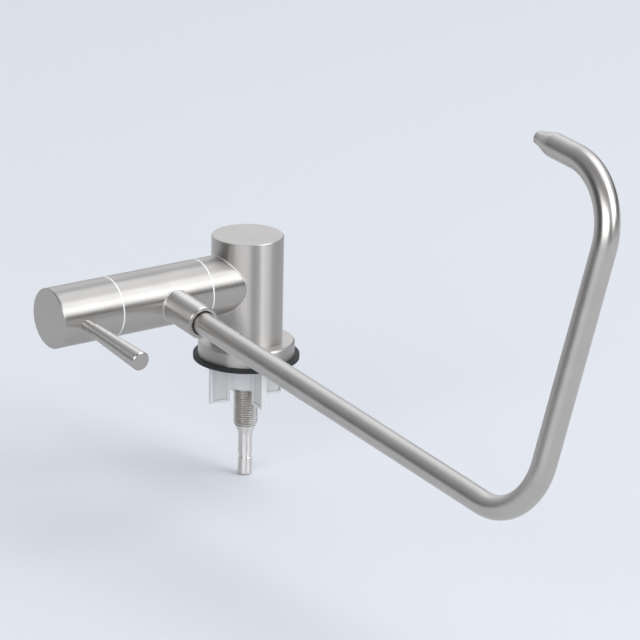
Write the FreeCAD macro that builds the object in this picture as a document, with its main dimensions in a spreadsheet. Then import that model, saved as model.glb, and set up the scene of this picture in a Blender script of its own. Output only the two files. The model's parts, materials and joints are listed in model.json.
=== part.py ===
import FreeCAD, Part
import math
import os
import Sketcher
from FreeCAD import Placement, Rotation, Vector

# Folding kitchen faucet: a round post on a flange, a barrel across its side that folds the
# spout down, and a pin-lever cap on the barrel's end that opens the valve.
# Millimetres. Z up, the origin where the post's axis meets the worktop, the barrel along -X
# and the folded spout towards -Y.

doc = FreeCAD.newDocument("folding_faucet")

SIZES = {
    # what stands on the worktop
    "gasket_thick": 1.8,
    "gasket_lip": 2.2,
    "gasket_gap": 0.35,
    "flange_radius": 21.5,
    "flange_thick": 6.6,
    "flange_edge": 0.7,
    "post_radius": 16.0,
    "post_rise": 48.4,
    "edge_break": 0.35,
    "post_wall": 5.0,
    "post_roof": 6.8,
    "flange_screw_inset": 2.5,
    "flange_screw_count": 3,
    "flange_screw_radius": 1.5,
    "flange_screw_head": 2.9,
    "flange_screw_sink": 1.7,
    "flange_screw_bite": 5.5,
    # the threaded stem below the worktop
    "stem_radius": 5.555,
    "stem_drop": 55.5,
    "stem_grip": 9.8,
    "stem_bore": 2.0,
    "stem_end_round": 0.9,
    "tail_radius": 3.175,
    "tail_rise": 19.7,
    "tail_groove_start": 8.1,
    "tail_groove_width": 2.1,
    "tail_groove_depth": 0.35,
    "stem_cone_rise": 5.3,
    "thread_pitch": 1.058,
    "thread_depth": 0.6,
    "thread_turns": 35,
    "stem_flat_depth": 0.56,
    "stem_flat_turn": -63.0,
    "stem_ring_inset": 3.0,
    "stem_ring_width": 1.6,
    "stem_ring_depth": 1.05,
    # the centring ring: a lip in the gasket, a hub on the stem and four framed legs
    "centring_inset": 0.95,
    "centring_lip": 1.0,
    "hub_radius": 7.3,
    "hub_drop": 13.7,
    "leg_count": 4,
    "leg_turn": -7.4,
    "leg_reach": 17.9,
    "leg_drop": 19.6,
    "leg_thick": 2.4,
    "leg_web": 0.9,
    "leg_rim": 1.1,
    "leg_gap": 1.1,
    # the fold joint between post and barrel
    "barrel_height": 36.3,
    "barrel_radius": 13.2,
    "stub_reach": 26.0,
    "stub_bore": 9.8,
    "slip_ring_thick": 0.65,
    "channel_radius": 3.0,
    "seat_inset": 1.5,
    "bolt_start": 2.0,
    "bolt_radius": 6.0,
    "bolt_thread_step": 0.2,
    "bolt_head_step": 1.4,
    "bolt_head_thick": 3.0,
    "bolt_key_radius": 4.3,
    "bolt_key_depth": 2.0,
    "bolt_ring_recess": 1.4,
    "bolt_ring_section": 0.68,
    "bush_wall": 2.0,
    "bush_length": 8.0,
    "bush_land": 1.75,
    "pivot_ring_width": 1.8,
    "pivot_ring_depth": 1.1,
    "head_land": 1.8,
    "head_clear": 0.35,
    "head_room": 2.2,
    "friction_washer_thick": 0.8,
    # the valve cartridge in the barrel
    "seal_thick": 1.4,
    "seal_bore": 6.2,
    "disc_radius": 7.5,
    "disc_thick": 2.5,
    "disc_port_radius": 2.1,
    "disc_port_circle": 4.4,
    "disc_clear": 0.1,
    "nose_wall": 1.65,
    "nose_land": 1.0,
    "driver_thick": 1.2,
    "window_land": 0.3,
    "window_length": 3.6,
    "window_width": 6.0,
    "gallery_inset": 1.6,
    "gallery_margin": 0.5,
    "gallery_depth": 1.15,
    "collar_land": 4.5,
    "collar_step": 1.0,
    "collar_length": 9.2,
    "spindle_radius": 4.0,
    "spindle_flat_depth": 0.8,
    "spindle_flat_land": 2.5,
    "spindle_rise": 13.0,
    "spindle_tap_radius": 1.65,
    "spindle_tap_depth": 8.0,
    "spindle_ring_land": 3.5,
    "spindle_ring_gap": 3.8,
    "spindle_ring_width": 1.7,
    "spindle_ring_depth": 1.2,
    "nut_sink": 0.7,
    "nut_length": 3.5,
    "nut_gap": 1.0,
    "circlip_thick": 0.8,
    "circlip_lip": 1.8,
    "circlip_groove_depth": 0.6,
    "circlip_gap": 2.4,
    # the handle cap and its lever
    "cap_wall": 2.5,
    "cap_floor": 4.2,
    "cap_edge": 0.4,
    "insert_land": 3.0,
    "insert_length": 18.0,
    "insert_room": 2.0,
    "lever_inset": 4.5,
    "lever_root": 5.0,
    "lever_sink": 1.6,
    "lever_thread_radius": 2.0,
    "lever_neck_radius": 2.45,
    "lever_neck_length": 6.3,
    "lever_shoulder_radius": 3.0,
    "lever_end_radius": 4.15,
    "lever_length": 36.3,
    "lever_edge": 0.5,
    "cap_screw_inset": 4.5,
    "cap_screw_radius": 2.0,
    "cap_screw_clear": 0.2,
    "cap_screw_sink": 0.8,
    "key_radius": 1.1,
    "key_depth": 1.8,
    # the spout's socket on the barrel, and the foot that turns in it
    "socket_setback": 0.65,
    "socket_radius": 7.25,
    "socket_reach": 33.0,
    "socket_edge": 0.4,
    "sleeve_wall": 0.6,
    "floor_bite": 0.8,
    "floor_gap": 0.8,
    "tail_bore_step": 1.7,
    "spout_ring_land": 1.5,
    "spout_ring_width": 1.5,
    "spout_ring_depth": 1.0,
    "socket_screw_land": 2.4,
    "socket_screw_gap": 2.5,
    "socket_screw_radius": 1.25,
    "socket_screw_dog": 0.8,
    "socket_screw_bite": 0.95,
    "socket_screw_sink": 0.3,
    "socket_key_radius": 0.75,
    "socket_key_depth": 0.7,
    "tube_seat_land": 1.2,
    "wiper_land": 1.1,
    "wiper_thick": 1.3,
    "wiper_inset": 0.6,
    # the spout tube
    "tube_radius": 5.0,
    "tube_wall": 1.0,
    "first_straight": 228.6,
    "bend_radius": 27.8,
    "second_straight": 86.2,
    "outlet_straight": 12.8,
    "nozzle_length": 9.6,
    "nozzle_radius": 2.85,
    "rest_dip": 5.0,
    "rest_spin": 12.2,
    # clearances
    "seat_clear": 0.05,
    "run_clear": 0.04,
    "face_clear": 0.02,
    "hang_clear": 0.3,
}

# Sizes that follow from others, so a piece moves and grows with what it sits in or on.
FOLLOWING = {
    # round the post
    "gasket_radius": "flange_radius + gasket_lip",
    "gasket_bore": "leg_reach + gasket_gap",
    "flange_top": "gasket_thick + flange_thick",
    "cavity_radius": "post_radius - post_wall",
    "cavity_rise": "post_rise - post_roof",
    "flange_screw_circle": "post_radius - flange_screw_inset",
    "stem_top": "flange_top + stem_grip",
    "stem_ring_start": "stem_top - stem_ring_inset",
    "thread_start": "tail_rise + stem_cone_rise",
    "centring_radius": "leg_reach - centring_inset",
    "leg_root": "hub_radius + leg_gap",
    # along the barrel, from the post's axis
    "waterway_seat": "cavity_radius - seat_inset",
    "barrel_start": "stub_reach + slip_ring_thick",
    "pivot_ring_start": "barrel_start + bush_length + bush_land",
    "head_seat": "pivot_ring_start + pivot_ring_width + head_land",
    "bolt_shoulder": "head_seat + friction_washer_thick",
    "cartridge_seat": "bolt_shoulder + bolt_head_thick + head_room",
    "disc_seat": "cartridge_seat + seal_thick",
    "driver_seat": "disc_seat + disc_thick + disc_thick",
    "window_start": "driver_seat + driver_thick + window_land",
    "window_stop": "window_start + window_length",
    "gallery_start": "cartridge_seat + gallery_inset",
    "gallery_stop": "window_stop + gallery_margin",
    "nose_stop": "window_stop + nose_land",
    "collar_start": "nose_stop + collar_land",
    "barrel_end": "collar_start + collar_length",
    "spindle_ring_a": "nose_stop + spindle_ring_land",
    "spindle_ring_b": "spindle_ring_a + spindle_ring_width + spindle_ring_gap",
    "nut_start": "barrel_end - nut_sink",
    "nut_stop": "nut_start + nut_length",
    "circlip_start": "nut_stop + face_clear",
    "spindle_stop": "nut_stop + spindle_rise",
    "cap_start": "barrel_end + slip_ring_thick",
    "insert_start": "nut_stop + insert_land",
    "insert_stop": "insert_start + insert_length",
    "cap_bore_end": "insert_stop + insert_room",
    "cap_end": "cap_bore_end + cap_floor",
    "lever_along": "insert_stop - lever_inset",
    "cap_screw_along": "insert_start + cap_screw_inset",
    "socket_along": "cartridge_seat - socket_setback",
    # off the barrel's axis
    "bolt_thread_radius": "bolt_radius - bolt_thread_step",
    "bolt_head_radius": "bolt_radius + bolt_head_step",
    "head_chamber": "bolt_head_radius + head_clear",
    "bush_radius": "bolt_radius + bush_wall",
    "nose_bore": "disc_radius + disc_clear",
    "cartridge_bore": "nose_bore + nose_wall",
    "gallery_radius": "cartridge_bore + gallery_depth",
    "collar_bore": "cartridge_bore + collar_step",
    "spindle_flat": "spindle_radius - spindle_flat_depth",
    "circlip_radius": "spindle_radius + circlip_lip",
    "circlip_groove": "spindle_radius - circlip_groove_depth",
    "cap_bore": "barrel_radius - cap_wall",
    "nut_radius": "cap_bore - nut_gap",
    "lever_thread_stop": "barrel_radius - lever_sink",
    "lever_neck_stop": "barrel_radius + lever_neck_length",
    "lever_stop": "lever_neck_stop + lever_length",
    "cap_screw_tip": "spindle_flat + cap_screw_clear",
    "cap_screw_head": "barrel_radius - cap_screw_sink",
    # along the spout's socket, from the barrel's axis
    "socket_floor": "gallery_radius - floor_bite",
    "tail_start": "socket_floor + floor_gap",
    "spout_ring_a": "tail_start + spout_ring_land",
    "socket_screw_along": "spout_ring_a + spout_ring_width + socket_screw_land",
    "spout_ring_b": "socket_screw_along + socket_screw_gap",
    "tube_seat": "spout_ring_b + spout_ring_width + tube_seat_land",
    "wiper_start": "socket_reach - wiper_inset - wiper_thick",
    "tail_stop": "wiper_start - wiper_land",
    # off the socket's axis
    "socket_bore": "tube_radius + sleeve_wall",
    "tail_bore": "tube_radius - tail_bore_step",
    "socket_screw_tip": "socket_bore - socket_screw_bite",
    "socket_screw_head": "socket_radius - socket_screw_sink",
    "retaining_radius": "socket_screw_tip - seat_clear",
    "retaining_half": "socket_screw_dog + hang_clear",
    # the spout: how far apart its first leg and its outlet are
    "legs_apart": "bend_radius + second_straight + bend_radius",
}

sheet = doc.addObject("Spreadsheet::Sheet", "Sizes")
for row, (name, value) in enumerate(SIZES.items(), start=1):
    sheet.set("A%d" % row, name)
    sheet.set("B%d" % row, str(value))
    sheet.setAlias("B%d" % row, name)
doc.recompute()


def worked(text):
    """A sum of named sizes, some times a factor, as a number and an expression on the sheet."""
    total = 0.0
    sign = 1.0
    words = []
    for word in text.split():
        if word in ("+", "-"):
            sign = 1.0 if word == "+" else -1.0
            words.append(word)
            continue
        factor, _, name = word.rpartition("*")
        if name in FOLLOWING:
            number, inner = worked(FOLLOWING[name])
            written = "(%s)" % inner
        else:
            number = SIZES[name]
            written = "Sizes." + name
        if factor:
            number = float(factor) * number
            written = factor + " * " + written
        total += sign * number
        words.append(written)
    return total, " ".join(words)


def distance(text):
    """A sum of named sizes as one bracketed expression, or 0 for none."""
    return "(%s)" % worked(text)[1] if text else "0"


# Each axis is a turn and the place of a point that lies a distance {s} along it. The barrel's
# distances start at the post's axis, and the spout's at the barrel's own.
DIP = "Sizes.rest_dip"
SPIN = "Sizes.rest_spin"
ALONG_BARREL = Rotation(Vector(0, 1, 0), -90)
SQUARE_TO_BARREL = Rotation(Vector(1, 0, 0), 90 + SIZES["rest_dip"])
SPUN = SQUARE_TO_BARREL * Rotation(Vector(0, 0, 1), -SIZES["rest_spin"])
DOWN = Rotation(Vector(1, 0, 0), 180)
UNDER_SOCKET = Rotation(Vector(1, 0, 0), 180 + SIZES["rest_dip"])
SOCKET_X = "-" + distance("socket_along")
BARREL_Z = "Sizes.barrel_height"
SCREW_S = distance("socket_screw_along")
APART = distance("legs_apart")
OUTLET_S = "(Sizes.first_straight - ({s}))"
AXES = {
    "post": (Rotation(), ("0", "0", "{s}")),
    "stem": (Rotation(), ("0", "0", "{s} - Sizes.stem_drop")),
    "under": (DOWN, ("0", "0", "-({s})")),
    "barrel": (ALONG_BARREL, ("-({s})", "0", BARREL_Z)),
    "socket": (
        SQUARE_TO_BARREL,
        (SOCKET_X, f"-({{s}}) * cos({DIP})", f"{BARREL_Z} - ({{s}}) * sin({DIP})"),
    ),
    "spout": (
        SPUN,
        (SOCKET_X, f"-({{s}}) * cos({DIP})", f"{BARREL_Z} - ({{s}}) * sin({DIP})"),
    ),
    "lever": (
        SQUARE_TO_BARREL,
        (
            "-" + distance("lever_along"),
            f"-({{s}}) * cos({DIP})",
            f"{BARREL_Z} - ({{s}}) * sin({DIP})",
        ),
    ),
    "cap_screw": (DOWN, ("-" + distance("cap_screw_along"), "0", BARREL_Z + " - ({s})")),
    "socket_screw": (
        UNDER_SOCKET,
        (
            SOCKET_X,
            f"({{s}}) * sin({DIP}) - {SCREW_S} * cos({DIP})",
            f"{BARREL_Z} - {SCREW_S} * sin({DIP}) - ({{s}}) * cos({DIP})",
        ),
    ),
    "outlet": (
        SPUN * DOWN,
        (
            f"{APART} * sin({SPIN}) {SOCKET_X}",
            f"-{OUTLET_S} * cos({DIP}) - {APART} * cos({SPIN}) * sin({DIP})",
            f"{BARREL_Z} - {OUTLET_S} * sin({DIP}) + {APART} * cos({SPIN}) * cos({DIP})",
        ),
    ),
}


def stand(piece, axis, start):
    """Put a piece's foot at a distance along an axis."""
    turn, places = AXES[axis]
    piece.Placement = Placement(Vector(), turn)
    for letter, place in zip("xyz", places):
        piece.setExpression("Placement.Base." + letter, place.replace("{s}", distance(start)))


def plane(body, role):
    """One of a body's own origin planes or axes."""
    return next(feature for feature in body.Origin.OriginFeatures if feature.Role == role)


def outline(body, name, points):
    """A closed outline through points given as sums of sizes: along the axis, off the axis."""
    sketch = body.newObject("Sketcher::SketchObject", name)
    sketch.AttachmentSupport = [(plane(body, "XZ_Plane"), "")]
    sketch.MapMode = "FlatFace"
    corners = [(worked(off), worked(along)) for along, off in points]
    for index, (off, along) in enumerate(corners):
        next_off, next_along = corners[(index + 1) % len(corners)]
        start = Vector(off[0], along[0], 0)
        stop = Vector(next_off[0], next_along[0], 0)
        sketch.addGeometry(Part.LineSegment(start, stop), False)
    for index, (off, along) in enumerate(corners):
        following = (index + 1) % len(corners)
        sketch.addConstraint(Sketcher.Constraint("Coincident", index, 2, following, 1))
        for kind, axis_line, (number, text) in (("DistanceX", -2, off), ("DistanceY", -1, along)):
            if text == "":
                sketch.addConstraint(Sketcher.Constraint("PointOnObject", index, 1, axis_line))
            else:
                made = sketch.addConstraint(Sketcher.Constraint(kind, -1, 1, index, 1, number))
                sketch.setExpression("Constraints[%d]" % made, text)
    return sketch


def turned(label, axis, start, points):
    """A piece turned on a lathe, from its half outline."""
    body = doc.addObject("PartDesign::Body", label)
    sketch = outline(body, label + "_outline", points)
    turning = body.newObject("PartDesign::Revolution", label + "_turning")
    turning.Profile = sketch
    turning.ReferenceAxis = (sketch, ["V_Axis"])
    turning.Angle = 360
    sketch.Visibility = False
    body.Tip = turning
    stand(body, axis, start)
    return body


def ring(label, axis, start, length, outer, inner):
    """A plain ring: washer, bush, sleeve or gasket."""
    corners = [("", inner), ("", outer), (length, outer), (length, inner)]
    return turned(label, axis, start, corners)


def rod(label, axis, start, length, radius):
    """A plain cylinder."""
    solid = doc.addObject("Part::Cylinder", label)
    solid.setExpression("Radius", distance(radius))
    solid.setExpression("Height", distance(length))
    stand(solid, axis, start)
    return solid


def block(label, long, wide, high):
    """A plain box at the origin."""
    solid = doc.addObject("Part::Box", label)
    solid.setExpression("Length", distance(long))
    solid.setExpression("Width", distance(wide))
    solid.setExpression("Height", distance(high))
    return solid


def hoop(label, axis, middle, radius, section):
    """An O-ring, by its middle circle and the radius of its section."""
    solid = doc.addObject("Part::Torus", label)
    solid.setExpression("Radius1", distance(radius))
    solid.setExpression("Radius2", distance(section))
    stand(solid, axis, middle)
    return solid


def hexagon(label, axis, start, length, radius):
    """A hexagonal bar, its corners at a radius."""
    solid = doc.addObject("Part::Prism", label)
    solid.Polygon = 6
    solid.setExpression("Circumradius", distance(radius))
    solid.setExpression("Height", distance(length))
    stand(solid, axis, start)
    return solid


def cone(label, bottom, top, height):
    """A cut-off cone at the origin."""
    solid = doc.addObject("Part::Cone", label)
    solid.setExpression("Radius1", distance(bottom))
    solid.setExpression("Radius2", distance(top))
    solid.setExpression("Height", distance(height))
    return solid


def joined(label, solids):
    """One piece made of several solids that meet."""
    union = doc.addObject("Part::MultiFuse", label)
    union.Shapes = solids
    union.Refine = True
    return union


def less(label, solid, tools):
    """A piece with holes and cuts taken out of it."""
    rest = doc.addObject("Part::Cut", label)
    rest.Base = solid
    rest.Tool = tools[0] if len(tools) == 1 else joined(label + "_tools", tools)
    rest.Refine = True
    return rest


def group(label, solids):
    """Identical pieces that share one name, as separate solids."""
    compound = doc.addObject("Part::Compound", label)
    compound.Links = solids
    return compound


def around(solid, turn, off, up):
    """Turn a solid about the post's axis, standing off it in the turned direction."""
    solid.Placement = Placement(Vector(), Rotation(Vector(0, 0, 1), turn))
    solid.setExpression("Placement.Base.x", f"{distance(off)} * cos({turn})")
    solid.setExpression("Placement.Base.y", f"{distance(off)} * sin({turn})")
    solid.setExpression("Placement.Base.z", distance(up))


SCREW_TURNS = [
    360.0 * index / SIZES["flange_screw_count"] for index in range(SIZES["flange_screw_count"])
]
pieces = []


# the flange, its screws and the gasket under it
def base_flange():
    blank = turned("flange_blank", "post", "gasket_thick", [
        ("", "stem_radius + hang_clear"),
        ("", "flange_radius"),
        ("flange_thick - flange_edge", "flange_radius"),
        ("flange_thick", "flange_radius - flange_edge"),
        ("flange_thick", "stem_radius + hang_clear"),
    ])
    holes = []
    for index, turn in enumerate(SCREW_TURNS):
        shank = "flange_screw_radius + seat_clear"
        hole = rod("flange_hole_%d" % index, "post", "", "flange_thick", shank)
        around(hole, turn, "flange_screw_circle", "gasket_thick")
        head = "flange_screw_head + seat_clear"
        sink = cone("flange_sink_%d" % index, head, shank, "flange_screw_sink")
        around(sink, turn, "flange_screw_circle", "gasket_thick")
        holes += [hole, sink]
    return less("base_flange", blank, holes)


def flange_screws():
    screws = []
    for index, turn in enumerate(SCREW_TURNS):
        head = cone(
            "flange_screw_head_%d" % index,
            "flange_screw_head", "flange_screw_radius", "flange_screw_sink")
        shank = rod(
            "flange_screw_shank_%d" % index, "post", "",
            "flange_thick + flange_screw_bite", "flange_screw_radius")
        key = hexagon(
            "flange_screw_key_%d" % index, "post", "", "flange_screw_sink", "key_radius")
        for solid in (head, shank, key):
            around(solid, turn, "flange_screw_circle", "gasket_thick")
        bar = joined("flange_screw_bar_%d" % index, [head, shank])
        screws.append(less("flange_screw_%d" % index, bar, [key]))
    return group("flange_screws", screws)


pieces.append(ring("base_gasket", "post", "", "gasket_thick", "gasket_radius", "gasket_bore"))
pieces.append(base_flange())
pieces.append(flange_screws())


# the post: a bar with a welded stub, bored for the waterway and the pivot bolt
def post():
    bar = turned("post_bar", "post", "flange_top", [
        ("", ""),
        ("", "post_radius"),
        ("post_rise - edge_break", "post_radius"),
        ("post_rise", "post_radius - edge_break"),
        ("post_rise", ""),
    ])
    stub = rod("post_stub", "barrel", "", "stub_reach", "barrel_radius")
    cavity = rod("post_cavity", "post", "flange_top", "cavity_rise", "cavity_radius")
    bore = rod("stub_hole", "barrel", "", "stub_reach", "stub_bore")
    taps = []
    for index, turn in enumerate(SCREW_TURNS):
        tap = rod(
            "post_tap_%d" % index, "post", "",
            "flange_screw_bite + hang_clear", "flange_screw_radius + seat_clear")
        around(tap, turn, "flange_screw_circle", "flange_top")
        taps.append(tap)
    return less("post", joined("post_blank", [bar, stub]), [cavity, bore] + taps)


def waterway():
    body = rod(
        "waterway_block", "post", "flange_top",
        "cavity_rise - hang_clear", "cavity_radius - seat_clear")
    stem_hole = rod(
        "waterway_stem_hole", "post", "flange_top",
        "stem_grip + hang_clear", "stem_radius + seat_clear")
    riser = rod(
        "waterway_riser", "post", "flange_top", "barrel_height - flange_top", "channel_radius")
    crossing = rod("waterway_crossing", "barrel", "", "waterway_seat", "channel_radius")
    bolt_hole = rod(
        "waterway_bolt_hole", "barrel", "bolt_start - hang_clear",
        "waterway_seat", "bolt_thread_radius + seat_clear")
    recess = rod(
        "waterway_recess", "barrel", "waterway_seat - bolt_ring_recess",
        "bolt_ring_recess", "bolt_radius + bolt_ring_recess")
    face = rod(
        "waterway_face", "barrel", "waterway_seat", "cavity_radius", "stub_bore + seat_clear")
    return less("waterway", body, [stem_hole, riser, crossing, bolt_hole, recess, face])


pieces.append(post())
pieces.append(waterway())


# the stem: threaded shank with a flat, a cone and the push-fit tail
def stem():
    bar = turned("stem_bar", "stem", "", [
        ("", "stem_bore"),
        ("", "tail_radius - stem_end_round"),
        ("stem_end_round", "tail_radius"),
        ("tail_groove_start", "tail_radius"),
        ("tail_groove_start", "tail_radius - tail_groove_depth"),
        ("tail_groove_start + tail_groove_width", "tail_radius - tail_groove_depth"),
        ("tail_groove_start + tail_groove_width", "tail_radius"),
        ("tail_rise", "tail_radius"),
        ("thread_start", "stem_radius"),
        ("stem_drop + stem_top", "stem_radius"),
        ("stem_drop + stem_top", "stem_bore"),
    ])
    groove = outline(bar, "thread_outline", [
        ("thread_start", "stem_radius + seat_clear"),
        ("thread_start + thread_pitch", "stem_radius + seat_clear"),
        ("thread_start + thread_depth", "stem_radius - thread_depth"),
    ])
    cutting = bar.newObject("PartDesign::Groove", "thread_groove")
    cutting.Profile = groove
    cutting.ReferenceAxis = (groove, ["V_Axis"])
    cutting.Angle = 360
    doc.recompute()
    before = bar.Shape.Volume
    turns = bar.newObject("PartDesign::LinearPattern", "thread_turns")
    turns.Originals = [cutting]
    turns.Direction = (groove, ["V_Axis"])
    turns.setExpression("Length", "(Sizes.thread_turns - 1) * Sizes.thread_pitch")
    turns.setExpression("Occurrences", "Sizes.thread_turns")
    bar.Tip = turns
    groove.Visibility = False
    doc.recompute()
    print("thread grooves take out", round(before - bar.Shape.Volume, 1), "mm3")
    turn = SIZES["stem_flat_turn"]
    flat = block("stem_flat", "stem_radius", "4*stem_radius", "stem_drop - tail_rise")
    flat.Placement = Placement(Vector(), Rotation(Vector(0, 0, 1), turn))
    off = distance("stem_radius - stem_flat_depth")
    half = distance("2*stem_radius")
    flat.setExpression("Placement.Base.x", f"{off} * cos({turn}) + {half} * sin({turn})")
    flat.setExpression("Placement.Base.y", f"{off} * sin({turn}) - {half} * cos({turn})")
    flat.setExpression("Placement.Base.z", distance("tail_rise - stem_drop"))
    band = rod(
        "stem_ring_band", "post", "stem_ring_start", "stem_ring_width", "stem_radius + seat_clear")
    core = rod(
        "stem_ring_core", "post", "stem_ring_start",
        "stem_ring_width", "stem_radius - stem_ring_depth")
    return less("stem", bar, [flat, less("stem_ring_groove", band, [core])])


pieces.append(stem())
pieces.append(hoop(
    "stem_oring", "post", "stem_ring_start + 0.5*stem_ring_width",
    "stem_radius - 0.5*stem_ring_depth + 0.5*seat_clear",
    "0.5*stem_ring_depth + 0.5*seat_clear - face_clear"))


# the centring ring's leg: an upright plate off the stem's axis, thin inside a thicker frame
def centring_leg(index):
    label = "centring_leg_%d" % index
    leg = doc.addObject("PartDesign::Body", label)
    plate = leg.newObject("PartDesign::Pad", label + "_plate")
    plate.Profile = outline(leg, label + "_outline", [
        ("", "stem_radius"),
        ("", "leg_reach"),
        ("leg_drop", "leg_reach"),
        ("leg_drop", "leg_root"),
        ("hub_drop", "leg_root"),
        ("hub_drop", "stem_radius"),
    ])
    plate.Midplane = True
    plate.setExpression("Length", "Sizes.leg_thick")
    panel = outline(leg, label + "_panel", [
        ("centring_lip + leg_rim", "leg_root + leg_rim"),
        ("centring_lip + leg_rim", "leg_reach - leg_rim"),
        ("leg_drop - leg_rim", "leg_reach - leg_rim"),
        ("leg_drop - leg_rim", "leg_root + leg_rim"),
    ])
    opening = leg.newObject("PartDesign::Pocket", label + "_opening")
    opening.Profile = panel
    opening.Type = "ThroughAll"
    opening.Midplane = True
    web = leg.newObject("PartDesign::Pad", label + "_web")
    web.Profile = panel
    web.Midplane = True
    web.setExpression("Length", "Sizes.leg_web")
    leg.Tip = web
    turn = SIZES["leg_turn"] + 360.0 * index / SIZES["leg_count"]
    leg.Placement = Placement(Vector(), Rotation(Vector(0, 0, 1), turn) * DOWN)
    return leg


def centring_ring():
    lip = rod("centring_disc", "under", "", "centring_lip", "centring_radius")
    pad = rod("centring_pad", "post", "", "gasket_thick", "centring_radius")
    hub = rod("centring_hub", "under", "", "hub_drop", "hub_radius")
    legs = [centring_leg(index) for index in range(SIZES["leg_count"])]
    hole = rod(
        "centring_hole", "under", "- gasket_thick",
        "gasket_thick + hub_drop", "stem_radius + seat_clear")
    return less("centring_ring", joined("centring_blank", [lip, pad, hub] + legs), [hole])


pieces.append(centring_ring())


# the fold joint: a hollow bolt through the barrel into the waterway
def pivot_bolt():
    neck = "waterway_seat - bolt_start - bolt_ring_recess"
    groove = "pivot_ring_start - bolt_start"
    shoulder = "bolt_shoulder - bolt_start"
    bar = turned("bolt_bar", "barrel", "bolt_start", [
        ("", "channel_radius"),
        ("", "bolt_thread_radius"),
        (neck, "bolt_thread_radius"),
        (neck, "bolt_radius"),
        (groove, "bolt_radius"),
        (groove, "bolt_radius - pivot_ring_depth"),
        (groove + " + pivot_ring_width", "bolt_radius - pivot_ring_depth"),
        (groove + " + pivot_ring_width", "bolt_radius"),
        (shoulder, "bolt_radius"),
        (shoulder, "bolt_head_radius"),
        (shoulder + " + bolt_head_thick", "bolt_head_radius"),
        (shoulder + " + bolt_head_thick", "channel_radius"),
    ])
    key = hexagon(
        "bolt_key", "barrel", "bolt_shoulder + bolt_head_thick - bolt_key_depth",
        "bolt_key_depth", "bolt_key_radius")
    return less("pivot_bolt", bar, [key])


pieces.append(pivot_bolt())
pieces.append(ring(
    "stub_sleeve", "barrel", "waterway_seat", "stub_reach - waterway_seat",
    "stub_bore - seat_clear", "bolt_radius + seat_clear"))
pieces.append(hoop(
    "bolt_oring", "barrel", "waterway_seat - 0.5*bolt_ring_recess",
    "bolt_radius + 0.5*bolt_ring_recess", "bolt_ring_section"))
pieces.append(ring(
    "fold_slip_ring", "barrel", "stub_reach + face_clear", "slip_ring_thick - face_clear",
    "barrel_radius", "bolt_radius + hang_clear"))
pieces.append(ring(
    "pivot_bush", "barrel", "barrel_start", "bush_length",
    "bush_radius - face_clear", "bolt_radius + run_clear"))
pieces.append(hoop(
    "pivot_oring", "barrel", "pivot_ring_start + 0.5*pivot_ring_width",
    "bolt_radius - 0.5*pivot_ring_depth + 0.5*run_clear",
    "0.5*pivot_ring_depth + 0.5*run_clear - face_clear"))
pieces.append(ring(
    "friction_washer", "barrel", "head_seat + face_clear",
    "friction_washer_thick - face_clear - face_clear",
    "bolt_head_radius", "bolt_radius + hang_clear"))


# the barrel: a bored cylinder with the spout socket on its side
def barrel():
    bar = rod("barrel_bar", "barrel", "barrel_start", "barrel_end - barrel_start", "barrel_radius")
    boss = turned("socket_boss", "socket", "", [
        ("", ""),
        ("", "socket_radius"),
        ("socket_reach - socket_edge", "socket_radius"),
        ("socket_reach", "socket_radius - socket_edge"),
        ("socket_reach", ""),
    ])
    bores = turned("barrel_bores", "barrel", "", [
        ("barrel_start", ""),
        ("barrel_start", "bush_radius"),
        ("barrel_start + bush_length", "bush_radius"),
        ("barrel_start + bush_length", "bolt_radius + run_clear"),
        ("head_seat", "bolt_radius + run_clear"),
        ("head_seat", "head_chamber"),
        ("cartridge_seat", "head_chamber"),
        ("cartridge_seat", "cartridge_bore"),
        ("gallery_start", "cartridge_bore"),
        ("gallery_start", "gallery_radius"),
        ("gallery_stop", "gallery_radius"),
        ("gallery_stop", "cartridge_bore"),
        ("collar_start", "cartridge_bore"),
        ("collar_start", "collar_bore"),
        ("barrel_end", "collar_bore"),
        ("barrel_end", ""),
    ])
    socket_hole = rod(
        "socket_hole", "socket", "socket_floor", "socket_reach - socket_floor", "socket_bore")
    screw_hole = rod(
        "socket_screw_hole", "socket_screw", "socket_screw_tip",
        "socket_radius", "socket_screw_radius + seat_clear")
    return less("barrel", joined("barrel_blank", [bar, boss]), [bores, socket_hole, screw_hole])


pieces.append(barrel())


# the quarter-turn cartridge: body, seal, two ceramic discs and the spindle
def cartridge_body():
    bore = "spindle_radius + run_clear"
    seal_groove = "spindle_radius + spindle_ring_depth"
    bar = turned("cartridge_bar", "barrel", "", [
        ("disc_seat", "nose_bore"),
        ("disc_seat", "cartridge_bore - seat_clear"),
        ("collar_start", "cartridge_bore - seat_clear"),
        ("collar_start", "collar_bore - seat_clear"),
        ("nut_start", "collar_bore - seat_clear"),
        ("nut_start", "circlip_radius"),
        ("nut_stop", "circlip_radius"),
        ("nut_stop", bore),
        ("spindle_ring_b + spindle_ring_width", bore),
        ("spindle_ring_b + spindle_ring_width", seal_groove),
        ("spindle_ring_b", seal_groove),
        ("spindle_ring_b", bore),
        ("spindle_ring_a + spindle_ring_width", bore),
        ("spindle_ring_a + spindle_ring_width", seal_groove),
        ("spindle_ring_a", seal_groove),
        ("spindle_ring_a", bore),
        ("nose_stop", bore),
        ("nose_stop", "nose_bore"),
    ])
    flats = hexagon("cartridge_flats", "barrel", "nut_start", "nut_length", "nut_radius")
    nut_bore = rod("cartridge_nut_bore", "barrel", "nut_start", "nut_length", bore)
    nut = less("cartridge_nut", flats, [nut_bore])
    window = block("cartridge_window", "window_width", "4*cartridge_bore", "window_length")
    stand(window, "barrel", "window_start")
    window.setExpression("Placement.Base.y", distance("- 2*cartridge_bore"))
    window.setExpression("Placement.Base.z", distance("barrel_height - 0.5*window_width"))
    return less("cartridge_body", joined("cartridge_blank", [bar, nut]), [window])


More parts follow.
